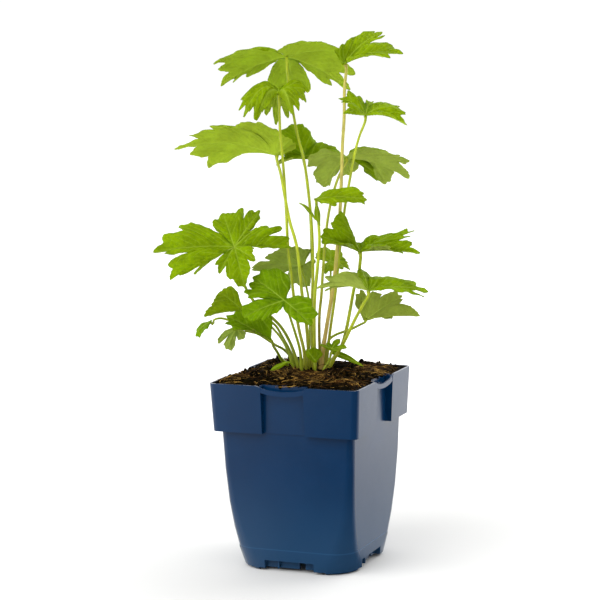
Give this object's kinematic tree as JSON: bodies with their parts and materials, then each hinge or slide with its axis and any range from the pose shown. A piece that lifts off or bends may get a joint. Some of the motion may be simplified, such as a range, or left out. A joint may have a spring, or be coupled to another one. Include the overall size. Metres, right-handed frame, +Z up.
{
  "type": "potted delphinium",
  "caption": "Young delphinium with lobed, toothed leaves on long bare stalks, rooted in dark peat in a square moulded nursery pot.",
  "frame": {"origin": "on the floor under the middle of the pot, at the middle of its base pad", "axes": "+Z up along the pot's axis; X and Y square to the pot's flat sides; the side pictured nearly square on faces -Y"},
  "size_m": [0.191, 0.1404, 0.4038],
  "materials": {
    "pot_plastic": "satin",
    "peat": "matte",
    "root_wood": "matte",
    "leaf_young": "satin",
    "leaf_fresh": "satin",
    "leaf_shaded": "satin",
    "leaf_olive": "satin",
    "stalk_yellow": "satin",
    "stalk_green": "satin",
    "stalk_pink": "satin",
    "stalk_red": "satin"
  },
  "bodies": {
    "root": {"pot": "pot_plastic", "soil": "peat", "rootstock": "root_wood", "leaf_top_left_stalk": "stalk_yellow", "leaf_top_left_blade": "leaf_young", "leaf_top_front_stalk": "stalk_yellow", "leaf_top_front_blade": "leaf_young", "leaf_top_right_stalk": "stalk_pink", "leaf_top_right_blade": "leaf_young", "leaf_upper_right_stalk": "stalk_yellow", "leaf_upper_right_blade": "leaf_young", "leaf_left_large_stalk": "stalk_yellow", "leaf_left_large_blade": "leaf_young", "leaf_middle_dark_stalk": "stalk_green", "leaf_middle_dark_blade": "leaf_fresh", "leaf_right_pale_stalk": "stalk_red", "leaf_right_pale_blade": "leaf_fresh", "leaf_left_open_stalk": "stalk_green", "leaf_left_open_blade": "leaf_fresh", "leaf_front_dark_stalk": "stalk_green", "leaf_front_dark_blade": "leaf_shaded", "leaf_left_fan_stalk": "stalk_green", "leaf_left_fan_blade": "leaf_olive", "leaf_low_front_stalk": "stalk_green", "leaf_low_front_blade": "leaf_shaded", "leaf_low_hanging_stalk": "stalk_green", "leaf_low_hanging_blade": "leaf_olive", "leaf_low_curled_stalk": "stalk_green", "leaf_low_curled_blade": "leaf_shaded", "leaf_behind_left_stalk": "stalk_green", "leaf_behind_left_blade": "leaf_olive", "leaf_right_wing_stalk": "stalk_yellow", "leaf_right_wing_blade": "leaf_fresh", "leaf_right_long_stalk": "stalk_yellow", "leaf_right_long_blade": "leaf_fresh", "leaf_right_low_stalk": "stalk_green", "leaf_right_low_blade": "leaf_shaded", "leaf_behind_right_stalk": "stalk_green", "leaf_behind_right_blade": "leaf_olive", "leaf_shoot_stalk": "stalk_yellow", "leaf_shoot_blade": "leaf_young", "leaf_base_fan_stalk": "stalk_green", "leaf_base_fan_blade": "leaf_fresh", "leaf_base_spread_stalk": "stalk_green", "leaf_base_spread_blade": "leaf_fresh", "strap_base_right": "leaf_fresh", "strap_base_left": "leaf_fresh", "bract_left": "leaf_young", "bract_front": "leaf_young"}
  },
  "joints": []
}
